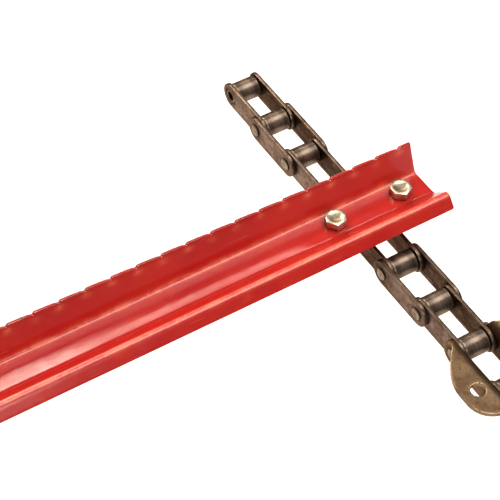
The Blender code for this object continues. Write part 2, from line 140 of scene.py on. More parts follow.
# ---------------------------------------------------------------- node helpers for materials
class Shader:
    """A Principled material with a few short calls for its nodes."""

    def __init__(self, name):
        self.material = bpy.data.materials.new(name)
        self.material.use_nodes = True
        self.tree = self.material.node_tree
        self.surface = self.tree.nodes["Principled BSDF"]
        self.place = self.tree.nodes.new("ShaderNodeTexCoord").outputs["Object"]

    def node(self, kind, **settings):
        made = self.tree.nodes.new("ShaderNode" + kind)
        for key, value in settings.items():
            setattr(made, key, value)
        return made

    def link(self, source, target):
        self.tree.links.new(source, target)

    def put(self, socket, value):
        """Joins a node's output to a socket, or sets the socket to a plain value."""
        if isinstance(value, bpy.types.NodeSocket):
            self.link(value, socket)
        else:
            socket.default_value = value

    def stretch(self, scale):
        mapping = self.node("Mapping")
        self.link(self.place, mapping.inputs["Vector"])
        mapping.inputs["Scale"].default_value = scale
        return mapping.outputs["Vector"]

    def noise(self, scale, detail=4.0, rough=0.55, vector=None, distortion=0.0):
        made = self.node("TexNoise")
        self.link(vector or self.place, made.inputs["Vector"])
        made.inputs["Scale"].default_value = scale
        made.inputs["Detail"].default_value = detail
        made.inputs["Roughness"].default_value = rough
        made.inputs["Distortion"].default_value = distortion
        return made.outputs["Fac"]

    def cells(self, scale):
        made = self.node("TexVoronoi")
        self.link(self.place, made.inputs["Vector"])
        made.inputs["Scale"].default_value = scale
        return made.outputs["Distance"]

    def ramp(self, value, low, high, start=0.0, end=1.0):
        """Maps value from low..high to start..end, smoothly and clamped."""
        made = self.node("MapRange", interpolation_type="SMOOTHSTEP")
        self.put(made.inputs["Value"], value)
        made.inputs["From Min"].default_value = low
        made.inputs["From Max"].default_value = high
        made.inputs["To Min"].default_value = start
        made.inputs["To Max"].default_value = end
        return made.outputs["Result"]

    def math(self, operation, a, b):
        made = self.node("Math", operation=operation)
        self.put(made.inputs[0], a)
        self.put(made.inputs[1], b)
        return made.outputs["Value"]

    def times(self, a, b):
        return self.math("MULTIPLY", a, b)

    def mix(self, share, a, b):
        made = self.node("Mix", data_type="RGBA")
        self.put(made.inputs["Factor"], share)
        for socket, value in ((made.inputs["A"], a), (made.inputs["B"], b)):
            self.put(socket, (*value, 1.0) if isinstance(value, tuple) else value)
        return made.outputs["Result"]

    def attribute(self, name):
        return self.node("Attribute", attribute_name=name).outputs["Fac"]

    def bump(self, height, distance, strength, under=None):
        made = self.node("Bump")
        self.put(made.inputs["Height"], height)
        made.inputs["Distance"].default_value = distance
        made.inputs["Strength"].default_value = strength
        if under is not None:
            self.link(under, made.inputs["Normal"])
        return made.outputs["Normal"]

    def finish(self, colour, roughness, metallic, normal, **sockets):
        self.put(self.surface.inputs["Base Color"], colour)
        self.put(self.surface.inputs["Roughness"], roughness)
        self.put(self.surface.inputs["Metallic"], metallic)
        self.link(normal, self.surface.inputs["Normal"])
        for name, value in sockets.items():
            self.put(self.surface.inputs[name.replace("_", " ")], value)
        return self.material


# Brown tint of reflections at grazing angles. Without it the pale floor turns oiled steel grey.
EDGE_TINT = (0.54, 0.43, 0.36, 1.0)
MIDDLE = (0.30, 0.70)  # the part of a noise's range that shows


def chain_steel(name, base, light, dark, polish):
    """Oiled brown steel: mottled, darker in hollows and on inner faces from old grease and painted shade,
    with the slat's painted shadow, brighter where it rubs.
    """
    rust_brown = (0.120, 0.052, 0.022)
    grease_and_shade_dark = (0.022, 0.013, 0.008)
    look = Shader(name)
    clouds = look.noise(90.0, 5.0, 0.6)
    mottle = look.noise(420.0, 6.0, 0.65)
    streaks = look.noise(260.0, 4.0, 0.6, look.stretch((1.0, 0.22, 1.0)))
    colour = look.mix(look.ramp(clouds, 0.36, 0.66), base, light)
    colour = look.mix(look.ramp(mottle, 0.48, 0.70, 0.0, 0.75), colour, dark)
    rust = look.times(look.ramp(look.noise(150.0, 6.0, 0.7), 0.56, 0.70), 0.55)
    colour = look.mix(rust, colour, rust_brown)
    # Darker with grease and painted shade: round the holes, on inner faces, along rims and in the slat's
    # painted shadow.
    grease_and_shade = look.times(look.attribute("grime"), look.ramp(streaks, 0.30, 0.62, 0.65, 1.0))
    colour = look.mix(grease_and_shade, colour, grease_and_shade_dark)
    patchy = look.ramp(look.noise(140.0, 4.0, 0.55), 0.28, 0.70, 0.15, 0.85)
    rubbed = look.times(look.attribute("wear"), patchy)
    colour = look.mix(rubbed, colour, polish)
    rough = look.ramp(mottle, 0.30, 0.72, 0.30, 0.52)
    rough = look.math("SUBTRACT", rough, look.times(rubbed, 0.10))
    metal = look.ramp(rust, 0.0, 1.0, 0.92, 0.55)
    oily = look.ramp(grease_and_shade, 0.0, 1.0, 0.12, 0.04)
    pits = look.bump(look.cells(900.0), 0.06 * MM, 0.5)
    relief = look.math("ADD", mottle, look.times(streaks, 0.7))
    normal = look.bump(relief, 0.16 * MM, 0.7, pits)
    return look.finish(
        colour, rough, metal, normal, Coat_Weight=oily, Coat_Roughness=0.22, Specular_Tint=EDGE_TINT
    )


def roller_steel():
    """Dark oiled steel with a rubbed band round its middle, scored round and round."""
    oiled, dry = (0.070, 0.044, 0.030), (0.135, 0.092, 0.064)
    grease_and_shade_dark = (0.014, 0.010, 0.007)
    polish = (0.235, 0.180, 0.135)
    look = Shader("roller_steel")
    mottle = look.noise(300.0, 5.0, 0.6)
    scores = look.noise(900.0, 3.0, 0.5, look.stretch((1.0, 0.08, 0.08)))
    colour = look.mix(look.ramp(mottle, 0.35, 0.68), oiled, dry)
    # Darker at the bore and end faces, with grease and painted shade between the roller and its plates.
    grease_and_shade = look.times(look.attribute("grime"), look.ramp(look.noise(200.0), 0.32, 0.60, 0.35, 1.0))
    colour = look.mix(grease_and_shade, colour, grease_and_shade_dark)
    rubbed = look.times(look.attribute("wear"), look.ramp(scores, *MIDDLE, 0.60, 1.0))
    colour = look.mix(rubbed, colour, polish)
    rough = look.ramp(scores, *MIDDLE, 0.32, 0.44)
    metal = look.ramp(grease_and_shade, 0.0, 1.0, 0.88, 0.35)
    relief = look.math("ADD", scores, look.times(mottle, 0.8))
    normal = look.bump(relief, 0.06 * MM, 0.35)
    return look.finish(
        colour, rough, metal, normal, Coat_Weight=0.20, Coat_Roughness=0.20, Specular_Tint=EDGE_TINT
    )


def red_paint():
    """Glossy red enamel over steel: fine orange peel, painted highlights along the ridge, the far bend and
    under the notches, painted shade in the bends, on the slope, along the top edge and round the bolt heads,
    and chips along worn edges.
    """
    deep_red, clear_red = (0.470, 0.011, 0.009), (0.530, 0.018, 0.011)
    orange_red = (0.600, 0.045, 0.013)
    shade_red, highlight_red = (0.250, 0.012, 0.009), (0.780, 0.160, 0.085)
    scratched_red = (0.640, 0.110, 0.070)
    rusty_steel, bare_steel = (0.120, 0.030, 0.016), (0.230, 0.130, 0.085)
    look = Shader("red_enamel")
    clouds = look.noise(16.0, 4.0, 0.55)
    patches = look.noise(95.0, 6.0, 0.66, look.stretch((0.55, 1.0, 1.0)))
    colour = look.mix(look.ramp(clouds, 0.38, 0.64), deep_red, clear_red)
    colour = look.mix(look.ramp(patches, 0.54, 0.76, 0.0, 0.55), colour, orange_red)
    # Painted shade: darker red in the near bend, on the slope, along the top edge and round the bolt heads.
    painted_shade = look.times(look.attribute("grime"), look.ramp(look.noise(60.0, 3.0, 0.5), *MIDDLE, 0.55, 1.0))
    colour = look.mix(look.times(painted_shade, 0.70), colour, shade_red)
    # Painted highlight: paler salmon red along the ridge, the far bend and under each notch.
    painted_highlight_mask = look.times(look.attribute("rub"), look.ramp(patches, 0.38, 0.62, 0.25, 1.0))
    colour = look.mix(painted_highlight_mask, colour, highlight_red)
    scratches = look.noise(520.0, 2.0, 0.4, look.stretch((0.05, 1.0, 1.0)), 0.4)
    colour = look.mix(look.ramp(scratches, 0.68, 0.74, 0.0, 0.3), colour, scratched_red)
    worn = look.math("ADD", look.noise(260.0, 6.0, 0.7), look.times(look.attribute("wear"), 0.24))
    chips = look.ramp(worn, 0.78, 0.82)
    under_paint = look.mix(look.ramp(look.noise(700.0), 0.40, 0.60), rusty_steel, bare_steel)
    colour = look.mix(chips, colour, under_paint)
    rough = look.ramp(look.noise(45.0, 5.0, 0.6), *MIDDLE, 0.15, 0.23)
    rough = look.math("ADD", rough, look.times(look.math("MAXIMUM", chips, painted_highlight_mask), 0.16))
    metal = look.times(chips, 0.7)
    peel = look.bump(look.noise(330.0, 2.0, 0.5), 0.05 * MM, 0.35)
    waves = look.bump(look.noise(28.0, 2.0, 0.5), 0.6 * MM, 0.35, peel)
    normal = look.bump(look.math("SUBTRACT", 1.0, chips), 0.10 * MM, 0.8, waves)
    return look.finish(colour, rough, metal, normal, Specular_IOR_Level=0.60)


def yellow_zinc():
    """Yellow-passivated zinc plate: pale gold and silver patches, a little grime and painted shade in the
    corners.
    """
    gold, silver, olive = (0.560, 0.480, 0.270), (0.640, 0.600, 0.470), (0.380, 0.350, 0.190)
    grime_and_shade_dark, polish = (0.120, 0.090, 0.050), (0.760, 0.730, 0.620)
    look = Shader("yellow_zinc")
    patches = look.noise(240.0, 5.0, 0.6)
    colour = look.mix(look.ramp(patches, 0.38, 0.64), gold, silver)
    stains = look.ramp(look.noise(520.0, 4.0, 0.6), 0.55, 0.75, 0.0, 0.45)
    colour = look.mix(stains, colour, olive)
    spots = look.times(look.ramp(look.noise(700.0, 5.0, 0.7), 0.50, 0.64), 0.35)
    # Darker spots, plus grime and painted shade in the corners and under the heads.
    dirt_and_shade = look.math("MAXIMUM", spots, look.times(look.attribute("grime"), 0.85))
    colour = look.mix(dirt_and_shade, colour, grime_and_shade_dark)
    colour = look.mix(look.times(look.attribute("wear"), 0.5), colour, polish)
    rough = look.ramp(patches, *MIDDLE, 0.22, 0.40)
    normal = look.bump(look.noise(900.0, 3.0, 0.5), 0.06 * MM, 0.5)
    return look.finish(colour, rough, 0.90, normal)


# ---------------------------------------------------------------- mesh helpers
TOUCHING = 1e-7  # metres; places closer than this are the same
SQUARE_EDGE = 1.0  # radians; a sheet's faces meet its cut sides at more than this
SHARP_ANGLE = math.radians(40.0)


def bell(distance, width, power=2):
    """1 at no distance, falling smoothly towards 0 past the width."""
    return math.exp(-((distance / width) ** power))


def spaced(low, high, step):
    """Places one step apart from low to high, without the ends."""
    return [low + count * step for count in range(1, math.ceil((high - low) / step))]


def arc(centre_u, centre_v, radius, steps, start=0.0, sweep=math.tau):
    """Points on an arc; a full circle leaves out its repeated last point."""
    count = steps if abs(abs(sweep) - math.tau) < 1e-6 else steps + 1
    angles = [start + sweep * step / steps for step in range(count)]
    return [(centre_u + radius * math.cos(a), centre_v + radius * math.sin(a)) for a in angles]


def blank(outline, holes, thickness, rim, cuts_u=(), cuts_v=()):
    """A flat piece of sheet with holes and rounded edges, u and v in X and Y and its depth in Z."""
    work = bmesh.new()
    edges = []
    for loop in [outline, *holes]:
        corners = [work.verts.new((u, v, 0.0)) for u, v in loop]
        edges += [work.edges.new((corners[i - 1], corners[i])) for i in range(len(corners))]
    bmesh.ops.triangle_fill(work, use_beauty=True, edges=edges)
    for cuts, normal in ((cuts_u, (1, 0, 0)), (cuts_v, (0, 1, 0))):
        for cut in cuts:
            everything = work.verts[:] + work.edges[:] + work.faces[:]
            point = Vector(normal) * cut
            bmesh.ops.bisect_plane(
                work, geom=everything, dist=TOUCHING, plane_co=point, plane_no=normal
            )
    made = bmesh.ops.extrude_face_region(work, geom=work.faces[:])
    lifted = [item for item in made["geom"] if isinstance(item, bmesh.types.BMVert)]
    bmesh.ops.translate(work, verts=lifted, vec=(0.0, 0.0, thickness))
    bmesh.ops.recalc_face_normals(work, faces=work.faces)
    work.normal_update()
    corners = [
        edge
        for edge in work.edges
        if len(edge.link_faces) == 2
        and edge.calc_face_angle(0.0) > SQUARE_EDGE
        and abs(edge.verts[0].co.z - edge.verts[1].co.z) < TOUCHING
    ]
    bmesh.ops.bevel(work, geom=corners, offset=rim, segments=2, profile=0.5, affect="EDGES")
    return work


def nearness(loops, reach):
    """A function that says how near a flat point is to the given outlines: 1 on them, 0 past reach."""
    points = []
    spacing = 0.4 * MM
    for loop in loops:
        for index, corner in enumerate(loop):
            before = Vector(loop[index - 1])
            here = Vector(corner)
            steps = max(1, int((here - before).length / spacing))
            points += [before.lerp(here, step / steps) for step in range(steps)]
    tree = kdtree.KDTree(len(points))
    for index, point in enumerate(points):
        tree.insert((point.x, point.y, 0.0), index)
    tree.balance()

    def near(co):
        distance = tree.find((co.x, co.y, 0.0))[2]
        return max(0.0, 1.0 - distance / reach)

    return near


def write_layers(work, **functions):
    """Stores each function of a vertex's place as a named float on the vertices."""
    for name, function in functions.items():
        layer = work.verts.layers.float.new(name)
        for vert in work.verts:
            vert[layer] = function(vert.co)


def lathe(rings, steps, wobble=None):
    """A closed turned shape about X. Each ring is (distance along X, radius, wear, grime and painted shade).
    """
    work = bmesh.new()
    wear = work.verts.layers.float.new("wear")
    grime = work.verts.layers.float.new("grime")
    loops = []
    for along, radius, worn, grimy_shaded in rings:
        loop = []
        count = 1 if radius < TOUCHING else steps
        for step in range(count):
            angle = math.tau * step / steps
            out = radius if wobble is None else wobble(along, radius, angle)
            vert = work.verts.new((along, out * math.cos(angle), out * math.sin(angle)))
            vert[wear] = worn
            vert[grime] = grimy_shaded
            loop.append(vert)
        loops.append(loop)
    pairs = list(zip(loops, loops[1:]))
    if len(loops[0]) > 1:
        pairs.append((loops[-1], loops[0]))
    for first, second in pairs:
        for step in range(steps):
            ring = [first[step % len(first)], first[(step + 1) % len(first)]]
            ring += [second[(step + 1) % len(second)], second[step % len(second)]]
            corners = list(dict.fromkeys(ring))
            if len(corners) > 2:
                work.faces.new(corners)
    bmesh.ops.recalc_face_normals(work, faces=work.faces)
    return work


def mirrored(rings):
    """The same rings at the other end of a turned shape, in the opposite order."""
    return [(-along, radius, worn, grimy_shaded) for along, radius, worn, grimy_shaded in reversed(rings)]


def add_piece(name, work, material, body, slot, *nodes):
    """Makes the object, lets it ride on its body and stand for its CAD nodes."""
    mesh = bpy.data.meshes.new(name)
    bmesh.ops.recalc_face_normals(work, faces=work.faces)
    work.to_mesh(mesh)
    work.free()
    mesh.materials.append(material)
    for polygon in mesh.polygons:
        polygon.use_smooth = True
    mesh.set_sharp_from_angle(angle=SHARP_ANGLE)
    piece = bpy.data.objects.new(name, mesh)
    bpy.context.scene.collection.objects.link(piece)
    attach(piece, body)
    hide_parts(*nodes)
    return piece


def moved(work, matrix):
    bmesh.ops.transform(work, matrix=matrix, verts=work.verts)
    return work


# ---------------------------------------------------------------- chain pieces
HOLE_STEPS = 40
END_STEPS = 24
GRID_STEP = 2.2 * MM
TURNED_STEPS = 48


def slat_shadow(y):
    """Painted shadow of the slat on the chain: 1 below the slat, 0 away from it."""
    middle = SLAT_PIN.y - 12.0 * MM
    return bell(y - middle, 40.0 * MM, 4)


def side_plate(name, side, inner_face, hole_radius, far_pin, material, body, slot):
    """A round-ended link plate with softened edges, rubbed bright at the rim, greasy round its holes, darker
    along its rim, with painted shade on its inner face and the slat's painted shadow.
    """
    outline = arc(0.0, 0.0, PLATE_RADIUS, END_STEPS, -math.pi / 2, math.pi)
    outline += arc(-PITCH, 0.0, PLATE_RADIUS, END_STEPS, math.pi / 2, math.pi)
    holes = [arc(-index * PITCH, 0.0, hole_radius, HOLE_STEPS) for index in range(2)]
    grid_u = spaced(-PITCH - PLATE_RADIUS, PLATE_RADIUS, 2.0 * MM)
    grid_v = spaced(-PLATE_RADIUS, PLATE_RADIUS, 1.6 * MM)
    work = blank(outline, holes, PLATE_THICKNESS, PLATE_RIM, grid_u, grid_v)
    near_hole = nearness(holes, 4.5 * MM)
    near_rim = nearness([outline], 3.6 * MM)
    inside = 0.0 if side > 0 else PLATE_THICKNESS

    # Grease round the holes, darker along the rim, painted shade on the inner face, and the slat's painted
    # shadow.
    def greasy_and_shaded(co):
        inner_face_shade = 0.95 if abs(co.z - inside) < SKIN else 0.0
        return max(near_hole(co), inner_face_shade, 0.75 * near_rim(co), slat_shadow(far_pin.y + co.x))

    def rubbed(co):
        return 0.45 * near_rim(co) ** 2

    write_layers(work, wear=rubbed, grime=greasy_and_shaded)
    depth = inner_face if side > 0 else -inner_face - PLATE_THICKNESS
    stand_up = Matrix(((0, 0, 1, 0), (1, 0, 0, 0), (0, 1, 0, 0), (0, 0, 0, 1)))
    moved(work, Matrix.Translation(far_pin) @ Matrix.Translation((depth, 0, 0)) @ stand_up)
    return add_piece(name + "_fine", work, material, body, slot, name)


# The wing's bend: how high the wall is below it, and its length along the middle of the sheet.
WALL_TOP = WING_TOP - WING_SHEET - WING_BEND
BEND_NEUTRAL = WING_BEND + WING_SHEET / 2
BEND_LENGTH = BEND_NEUTRAL * math.pi / 2


def bent_plate_outline():
    """Outline of an attachment plate cut flat: u along the chain, v up the wall and out along the wing."""
    wing_start = OUTER_FACE + WING_SHEET + WING_BEND

    def developed(x):
        """Distance up the flat blank of a point that is x out from the strand's middle once bent."""
        if x >= wing_start:
            return WALL_TOP + BEND_LENGTH + x - wing_start
        share = max(0.0, (wing_start - x) / (WING_BEND + WING_SHEET))
        return WALL_TOP + BEND_NEUTRAL * math.acos(min(1.0, share))

    widest_y = -PITCH - WING_WIDEST
    near_y = -PITCH - WING_NEAR
    points = arc(-PITCH, 0.0, PLATE_RADIUS, END_STEPS, -math.pi / 2, math.radians(-81))
    # up the near side of the wall to the wing's root
    wing_root = WING_TOP - WING_SHEET - 3.5 * MM
    points.append((near_y + 1.2 * MM, wing_root))
    points.append((near_y, wing_root + 2.5 * MM))
    corner = WING_NEAR - WING_WIDEST
    near_corner = arc(WING_REACH - corner, widest_y, corner, END_STEPS, -math.pi / 2, math.pi / 2)
    points += [(y, developed(x)) for x, y in near_corner]
    outside = OUTER_FACE + PLATE_THICKNESS
    steps = 30
    for step in range(steps, 0, -1):
        share = step / steps
        x = outside + (WING_REACH - outside) * math.sin(math.pi / 2 * share)
        points.append((WING_START - WING_SPREAD * share, developed(x)))
    # down the far side of the wall, easing into the plate's rim
    foot = developed(outside)
    points.append((WING_START + 0.20 * MM, foot - 0.6 * MM))
    points.append((WING_START + 0.65 * MM, foot - 2.0 * MM))
    points.append((WING_START + 1.20 * MM, PLATE_RADIUS + 1.0 * MM))
    points.append((WING_START + 1.85 * MM, PLATE_RADIUS + 0.1 * MM))
    points += arc(0.0, 0.0, PLATE_RADIUS, END_STEPS, math.radians(68), math.radians(-158))
    return points, developed


def attachment_plate(name, side, far_pin, material, body):
    """A link plate whose upper edge is bent outwards into a rounded wing with a bolt hole."""
    outline, developed = bent_plate_outline()
    holes = [arc(-index * PITCH, 0.0, PIN_RADIUS + GAP, HOLE_STEPS) for index in range(2)]
    holes.append(arc(-PITCH, developed(WING_HOLE_OFFSET), WING_HOLE_RADIUS, HOLE_STEPS))
    bend_steps = 10
    bend_end = WALL_TOP + BEND_LENGTH
    cuts_v = [WALL_TOP + BEND_LENGTH * step / bend_steps for step in range(bend_steps + 1)]
    cuts_v += [-8.0 * MM + GRID_STEP * step for step in range(9)]
    cuts_v += [bend_end + GRID_STEP * step for step in range(1, 10)]
    cuts_u = spaced(-PITCH - WING_NEAR, PLATE_RADIUS, GRID_STEP)
    work = blank(outline, holes, WING_SHEET, PLATE_RIM, cuts_u, cuts_v)
    near_hole = nearness(holes[:2], 5.0 * MM)

    # Grease round the pin holes, painted shade on the wall's inner face, and the slat's painted shadow.
    def greasy_and_shaded(co):
        inner_face = 0.9 if co.z < SKIN and co.y < WALL_TOP else 0.0
        return max(near_hole(co), inner_face, slat_shadow(far_pin.y + co.x) * 0.8)

    write_layers(work, wear=nearness([outline, holes[2]], 2.0 * MM), grime=greasy_and_shaded)
    for vert in work.verts:
        y, up, depth = vert.co
        radius = WING_BEND + WING_SHEET - depth
        if up <= WALL_TOP:
            x, z = OUTER_FACE + depth, up
        elif up <= bend_end:
            angle = (up - WALL_TOP) / BEND_NEUTRAL
            x = OUTER_FACE + WING_SHEET + WING_BEND - radius * math.cos(angle)
            z = WALL_TOP + radius * math.sin(angle)
        else:
            x = OUTER_FACE + WING_SHEET + WING_BEND + up - bend_end
            z = WALL_TOP + radius
        vert.co = (side * x, y, z)
    moved(work, Matrix.Translation(far_pin))
    return add_piece(name + "_fine", work, material, body, "attachment_plate", name)


def roller(name, pin, body, material):
    """A roller with rounded shoulders, rubbed bright where it runs on the teeth."""
    bore = BUSHING_RADIUS + GAP
    ease = 0.3 * MM
    shoulder = 0.9 * MM
    half = ROLLER_HALF
    face_edge = 1.1 * MM
    rings = [
        (-half, bore + ease, 0.1, 1.0),
        (-half, bore + face_edge, 0.2, 0.8),
        (-half, ROLLER_RADIUS - face_edge, 0.5, 0.4),
    ]
    for quarter in range(4, -1, -1):
        angle = math.pi / 2 * quarter / 4
        along = -half + shoulder * (1 - math.sin(angle))
        rings.append((along, ROLLER_RADIUS - shoulder * (1 - math.cos(angle)), 0.9, 0.2))
    tread = ((-0.80, 0.10, 0.45), (-0.55, 0.15, 0.25), (-0.25, 0.7, 0.0), (0.0, 0.9, 0.0))
    for share, worn, grimy_shaded in tread:
        rings.append((half * share, ROLLER_RADIUS, worn, grimy_shaded))
    rings += mirrored(rings[:-1])
    rings += [(half - ease, bore, 0.0, 1.0), (-half + ease, bore, 0.0, 1.0)]
    work = lathe(rings, 64)
    moved(work, Matrix.Translation(pin))
    return add_piece(name + "_fine", work, material, body, "roller", name)


def bushing(name, pin, body, material):
    """A plain bushing with eased ends."""
    bore = PIN_RADIUS + GAP
    ease = 0.35 * MM
    half = BUSHING_HALF
    end = [
        (-half, bore + ease, 0.5, 0.6),
        (-half, BUSHING_RADIUS - ease, 0.8, 0.5),
        (-half + ease, BUSHING_RADIUS, 0.6, 0.6),
        (-half + 3.2 * MM, BUSHING_RADIUS, 0.0, 1.0),
    ]
    bores = [(half - ease, bore, 0.2, 0.8), (-half + ease, bore, 0.2, 0.8)]
    work = lathe(end + mirrored(end) + bores, TURNED_STEPS)
    moved(work, Matrix.Translation(pin))
    return add_piece(name + "_fine", work, material, body, "bushing", name)


def pin(name, place, body, material):
    """A pin with both ends spread by riveting: a low dome with four stake marks."""
    base = OUTER_FACE + PLATE_THICKNESS + GAP
    end = PIN_HALF
    height = end - base
    half = [
        (end - 0.18 * MM, 0.0, 0.4, 0.3),
        (end - 0.16 * MM, RIVET_RADIUS * 0.22, 0.5, 0.3),
        (end - 0.02 * MM, RIVET_RADIUS * 0.42, 0.9, 0.0),
        (end, RIVET_RADIUS * 0.62, 1.0, 0.0),
        (end - height * 0.10, RIVET_RADIUS * 0.80, 1.0, 0.0),
        (end - height * 0.30, RIVET_RADIUS * 0.93, 0.9, 0.0),
        (end - height * 0.60, RIVET_RADIUS, 0.7, 0.2),
        (base, RIVET_RADIUS, 0.2, 0.9),
        (base, PIN_RADIUS, 0.0, 1.0),
        (base - 3.4 * MM, PIN_RADIUS, 0.0, 1.0),
    ]

    def stakes(along, radius, angle):
        """Four dents round the spread end."""
        if radius < PIN_RADIUS * 1.02 or abs(along) < base:
            return radius
        return radius - 0.18 * MM * max(0.0, math.cos(4 * angle)) ** 3

    work = lathe(half + mirrored(half), TURNED_STEPS, stakes)
    moved(work, Matrix.Translation(place))
    return add_piece(name + "_fine", work, material, body, "pin", name)


# ---------------------------------------------------------------- the slat
SLAT_COLUMNS = 190  # cells along the slat, so that its teeth's dents show
DENT_END = 12.0 * MM  # along the bent sheet from its toothed edge


class BentPath:
    """The slat's top surface as one path: straight stretches joined by arcs."""

    def __init__(self, corners, radii):
        self.stretches = []
        start = Vector(corners[0])
        for index, radius in enumerate(radii, 1):
            before, corner, after = (Vector(corners[index + k]) for k in (-1, 0, 1))
            heading = (corner - before).normalized()
            leaving = (after - corner).normalized()
            turn = math.atan2(heading.x * leaving.y - heading.y * leaving.x, heading.dot(leaving))
            setback = radius * math.tan(abs(turn) / 2)
            self.add_straight(start, corner - heading * setback)
            self.add_arc(corner - heading * setback, heading, radius, turn)
            start = corner + leaving * setback
        self.add_straight(start, Vector(corners[-1]))
        self.length = sum(stretch["length"] for stretch in self.stretches)

    def add_straight(self, start, end):
        stretch = {"start": start, "heading": (end - start).normalized(), "length": (end - start).length}
        self.stretches.append(stretch | {"turn": 0.0})

    def add_arc(self, start, heading, radius, turn):
        length = radius * abs(turn)
        self.stretches.append(
            {"start": start, "heading": heading, "length": length, "turn": turn, "radius": radius}
        )

    def at(self, distance):
        """The point and the heading at a distance along the path."""
        for stretch in self.stretches:
            if distance <= stretch["length"] or stretch is self.stretches[-1]:
                break
            distance -= stretch["length"]
        heading = stretch["heading"]
        if stretch["turn"] == 0.0:
            return stretch["start"] + heading * distance, heading
        side = 1.0 if stretch["turn"] > 0 else -1.0
        angle = side * distance / stretch["radius"]
        to_centre = Vector((-heading.y, heading.x)) * side * stretch["radius"]
        centre = stretch["start"] + to_centre
        turned = Matrix.Rotation(angle, 2)
        return centre + turned @ (-to_centre), turned @ heading

    def bend_middle(self, index):
        """Distance along the path to the middle of a bend, counted from 0."""
        stretches = self.stretches[: 2 * index + 1]
        before = sum(stretch["length"] for stretch in stretches)
        return before + self.stretches[2 * index + 1]["length"] / 2

    def cuts(self, straight_step, arc_steps):
        """Distances at which the sheet is cut so that it can bend smoothly."""
        places = []
        begun = 0.0
        for stretch in self.stretches:
            steps = arc_steps if stretch["turn"] else max(1, round(stretch["length"] / straight_step))
            places += [begun + stretch["length"] * step / steps for step in range(1, steps + 1)]
            begun += stretch["length"]
        return places[:-1]


def slat_path():
    near_bend = (-WEB_NEAR, WEB_TOP)
    ridge = (near_bend[0] - RIDGE_RUN, WEB_TOP + RIDGE_RISE)
    corners = [
        (WEB_FAR + FLANGE_LEAN, WEB_TOP + FLANGE_HEIGHT),
        (WEB_FAR, WEB_TOP),
        near_bend,
        ridge,
        (ridge[0] - LIP_RUN, ridge[1] - LIP_DROP),
    ]
    return BentPath(corners, BEND_RADII)


def toothed_edge(length):
    """The flange's serrated edge from left to right: bowed teeth with a leaning notch between them."""
    count = int(length / TOOTH_PITCH)
    first = -(count - 1) * TOOTH_PITCH / 2
    tooth = [
        (-TOOTH_RUN, 0.0),
        (-TOOTH_RUN * 0.75, TOOTH_FALL * 0.10),
        (-TOOTH_RUN * 0.50, TOOTH_FALL * 0.30),
        (-TOOTH_RUN * 0.25, TOOTH_FALL * 0.62),
        (-NOTCH_SLOPE, TOOTH_FALL),
        (-NOTCH_SLOPE * 0.60, TOOTH_FALL + 0.28 * MM),
        (-NOTCH_SLOPE * 0.25, NOTCH_DEPTH * 0.95),
        (0.0, NOTCH_DEPTH),
        (NOTCH_RISE * 0.30, NOTCH_DEPTH * 0.86),
        (NOTCH_RISE * 0.70, NOTCH_DEPTH * 0.30),
        (NOTCH_RISE, NOTCH_DEPTH * 0.04),
    ]
    points = [(-length / 2, 0.0)]
    for index in range(count):
        middle = first + index * TOOTH_PITCH
        points += [(middle + x, down) for x, down in tooth if middle + x > -length / 2 + MM]
    points.append((length / 2, 0.1 * MM))
    return points, [first + index * TOOTH_PITCH for index in range(count)]


def slat_bolt_axes(path):
    """Flat places of the slat's bolt holes: a pair for this strand and a pair for the missing one."""
    flat_start = sum(stretch["length"] for stretch in path.stretches[:2])
    bolt_line = flat_start + path.stretches[2]["start"].x
    middle = (slat_low.x + slat_high.x) / 2
    return [
        (STRAND - middle + strand + offset, bolt_line)
        for strand in (0.0, -STRAND_SPACING)
        for offset in (-WING_HOLE_OFFSET, WING_HOLE_OFFSET)
    ]


def slat_rub(path, notches):
    """Painted highlight: paler paint along the ridge and the far bend, and under each notch, where light
    catches the sheet.
    """
    far_bend = path.bend_middle(0)
    ridge = path.bend_middle(2) + 0.3 * MM
    below_notch = 4.2 * MM

    def rubbed(co):
        on_ridge = bell(co.y - ridge, 2.1 * MM)
        on_bend = bell(co.y - far_bend, 2.4 * MM)
        notch = min(abs(co.x - middle) for middle in notches)
        under_notch = bell(notch, 3.0 * MM) * bell(co.y - below_notch, 2.2 * MM)
        if co.z > SHEET / 2:
            under_notch = 0.0
        return max(on_ridge * 0.9, on_bend * 0.75, under_notch * 0.8)

    return rubbed


def slat_painted_shade(path, bolt_axes):
    """Painted shade: darker paint in the near bend, on the slope, along the top edge and round the bolt
    heads.
    """
    near_bend = path.bend_middle(1)
    slope_middle = (near_bend + path.bend_middle(2)) / 2
    head_rim = 8.5 * MM

    def shaded(co):
        in_bend = bell(co.y - near_bend - 0.3 * MM, 2.6 * MM)
        on_slope = bell(co.y - slope_middle, 8.0 * MM, 4)
        top_edge = max(0.0, 1.0 - co.y / (3.0 * MM))
        to_bolt = min((co.xy - Vector(axis)).length for axis in bolt_axes)
        under_head = bell(to_bolt - head_rim, 2.5 * MM)
        return max(in_bend, on_slope * 0.85, top_edge * 0.9, under_head * 0.7)

    return shaded


